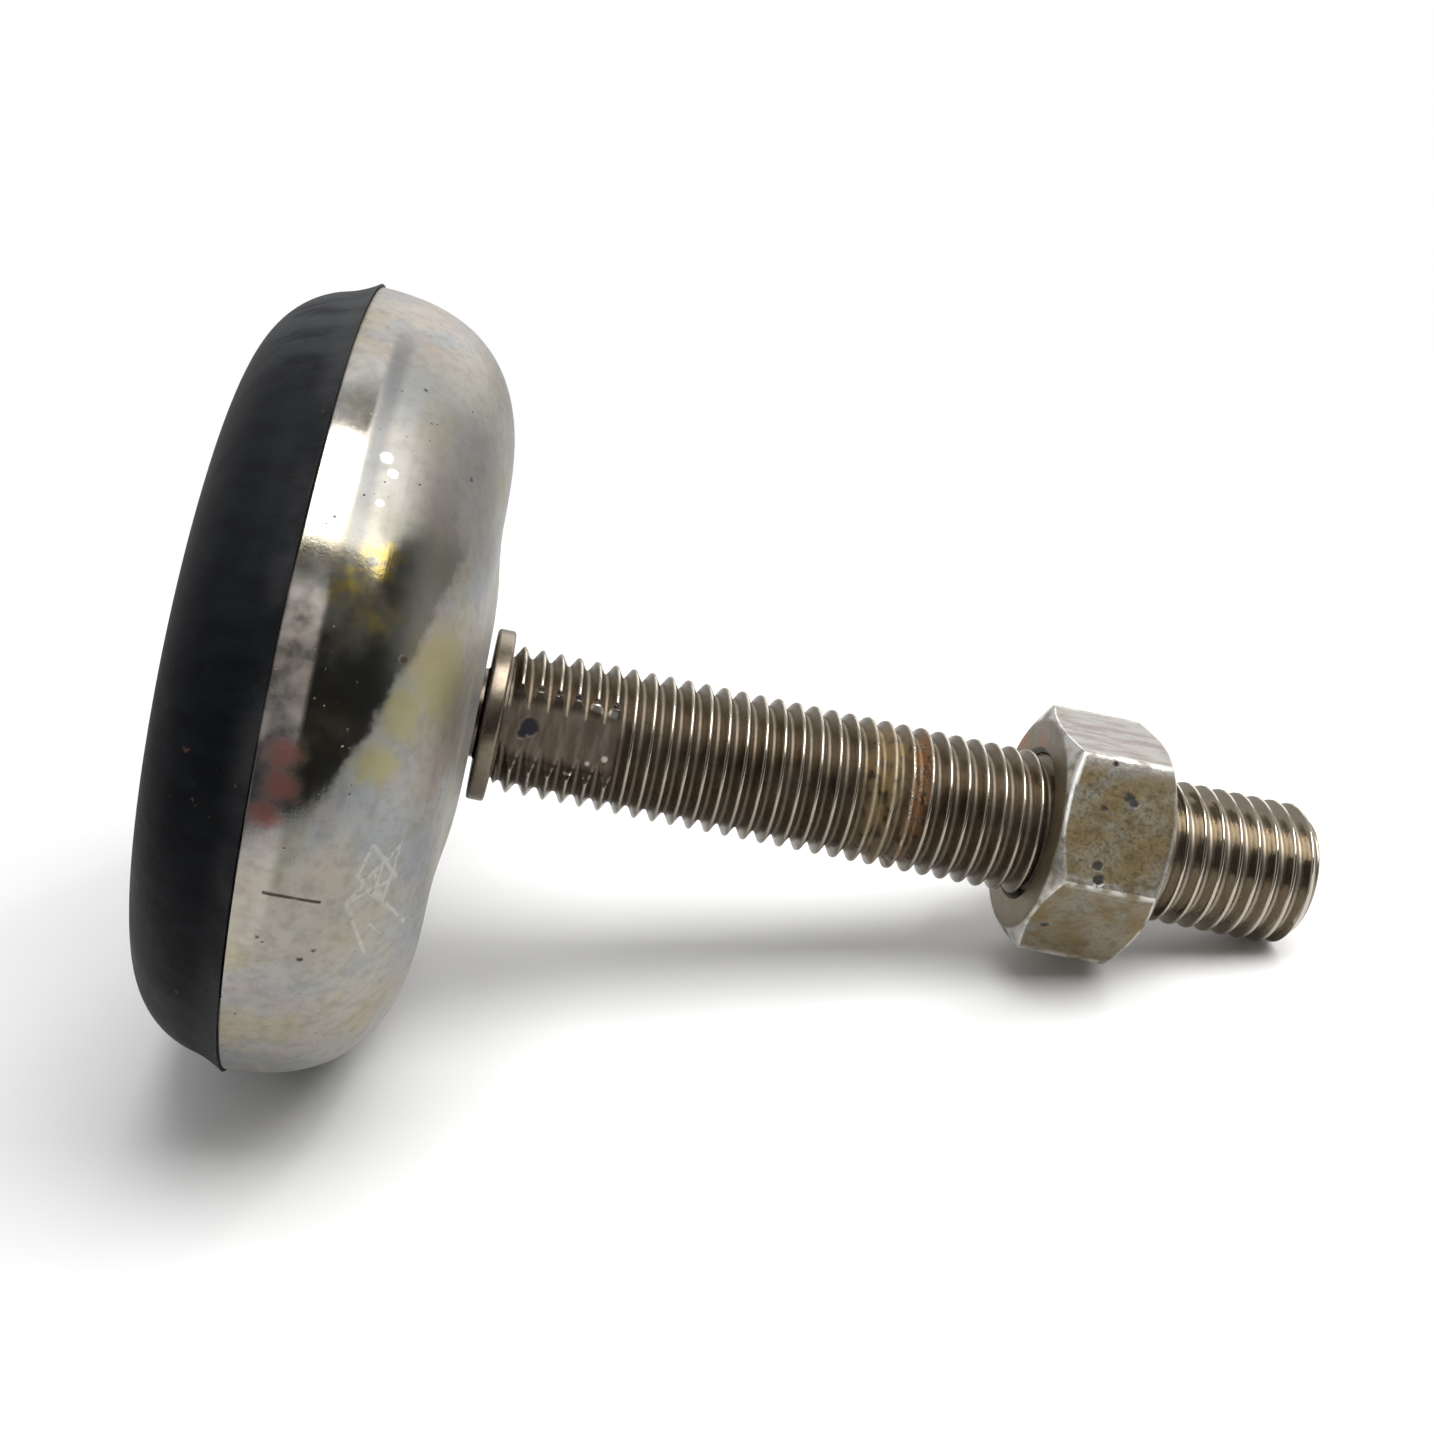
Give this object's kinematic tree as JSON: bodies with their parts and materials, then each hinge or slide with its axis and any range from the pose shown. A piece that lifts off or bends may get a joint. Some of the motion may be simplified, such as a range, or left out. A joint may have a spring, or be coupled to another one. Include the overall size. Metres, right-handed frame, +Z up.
{
  "type": "furniture leveling foot",
  "caption": "Swivel leveling foot with a rubber sole under a polished steel dome, a ball-jointed threaded spindle with wrench flats, and a hexagon lock nut.",
  "frame": {"origin": "middle of the rubber sole's floor face, on the floor", "axes": "+Z runs up along the upright spindle to its free end; +Y is square to the two wrench flats"},
  "size_m": [0.104, 0.104, 0.15],
  "materials": {
    "sole_rubber": "moulded matt black rubber, slightly dusty",
    "dome_nickel": "polished nickel plate, tarnished in soft patches",
    "inner_steel": "plain zinc-plated steel, hidden inside the dome",
    "seat_acetal": "natural acetal, hidden inside the dome",
    "spindle_nickel": "dulled nickel plate with a warm tint and a little rust in the thread",
    "nut_zinc": "dull zinc plate, mottled, pitted and worn bright on the edges"
  },
  "bodies": {
    "base": {"rubber_pad": "sole_rubber", "dome_shell": "dome_nickel", "base_plate": "inner_steel", "ball_hub": "inner_steel", "retaining_ring": "inner_steel"},
    "ball_seat": {"lower_seat": "seat_acetal", "upper_seat": "seat_acetal"},
    "spindle": {"spindle": "spindle_nickel"},
    "lock_nut": {"lock_nut": "nut_zinc"}
  },
  "joints": [
    {"name": "spindle_turn", "type": "hinge", "parent": "base", "child": "ball_seat", "pos_m": [0, 0, 0.0252], "axis": [0, 0, 1], "continuous": true},
    {"name": "swivel", "type": "hinge", "parent": "ball_seat", "child": "spindle", "pos_m": [0, 0, 0.0252], "axis": [1, 0, 0], "range_deg": [-3.5, 3.5]},
    {"name": "nut_travel", "type": "slide", "parent": "spindle", "child": "lock_nut", "axis": [0, 0, 1], "range_m": [-0.0675, 0.0225]}
  ]
}
